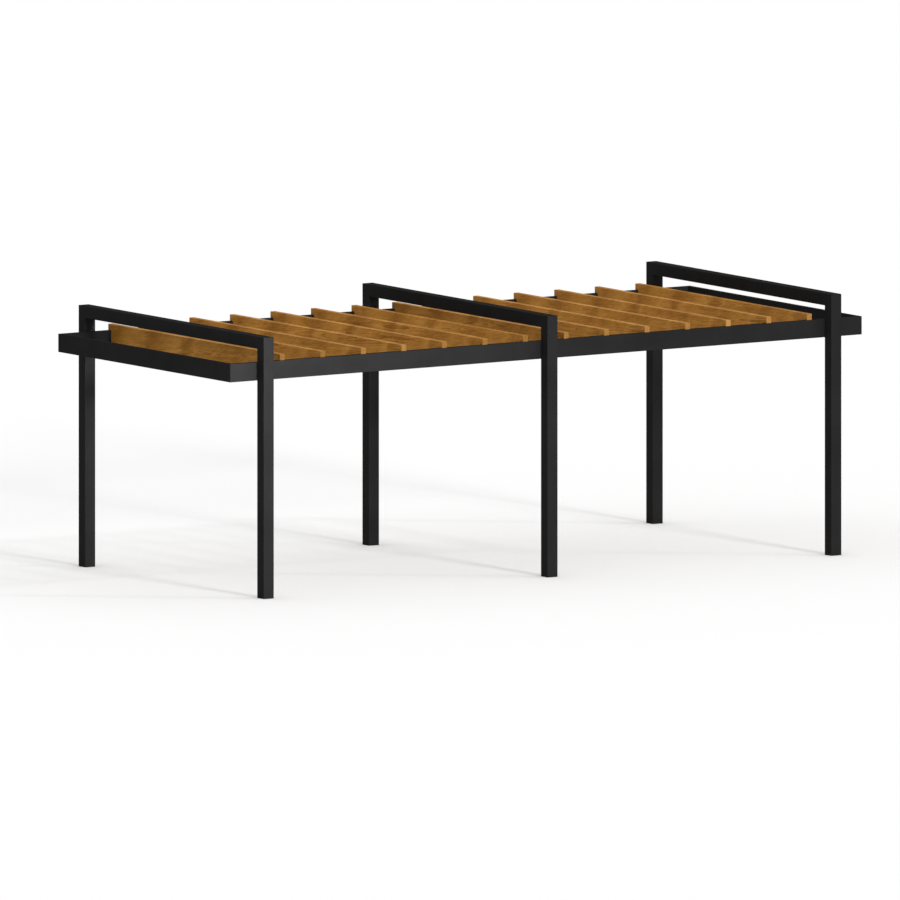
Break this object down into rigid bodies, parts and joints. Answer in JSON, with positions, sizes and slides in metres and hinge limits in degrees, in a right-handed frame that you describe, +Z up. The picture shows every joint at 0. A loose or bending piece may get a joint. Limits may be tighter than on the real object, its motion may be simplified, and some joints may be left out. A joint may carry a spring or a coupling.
{
  "type": "flat-roofed pergola",
  "caption": "Open flat-roofed pergola: black square-tube steel portals carry a hanging steel ring beam, with timber rafters notched across it for shade.",
  "frame": {"origin": "on the ground, in the middle of the post layout", "axes": "+X along the pergola's length, +Y from the front posts to the back posts, +Z up"},
  "size_m": [7.79, 3.49, 2.715],
  "materials": {
    "coated_steel": "satin",
    "oiled_timber": "satin"
  },
  "bodies": {
    "root": {"front_left_post": "coated_steel", "back_left_post": "coated_steel", "front_middle_post": "coated_steel", "back_middle_post": "coated_steel", "front_right_post": "coated_steel", "back_right_post": "coated_steel", "left_top_beam": "coated_steel", "middle_top_beam": "coated_steel", "right_top_beam": "coated_steel", "front_side_beam": "coated_steel", "back_side_beam": "coated_steel", "left_end_beam": "coated_steel", "right_end_beam": "coated_steel", "rafter_01": "oiled_timber", "rafter_02": "oiled_timber", "rafter_03": "oiled_timber", "rafter_04": "oiled_timber", "rafter_05": "oiled_timber", "rafter_06": "oiled_timber", "rafter_07": "oiled_timber", "rafter_08": "oiled_timber", "rafter_09": "oiled_timber", "rafter_10": "oiled_timber", "rafter_11": "oiled_timber", "rafter_12": "oiled_timber", "rafter_13": "oiled_timber", "rafter_14": "oiled_timber"}
  },
  "joints": []
}
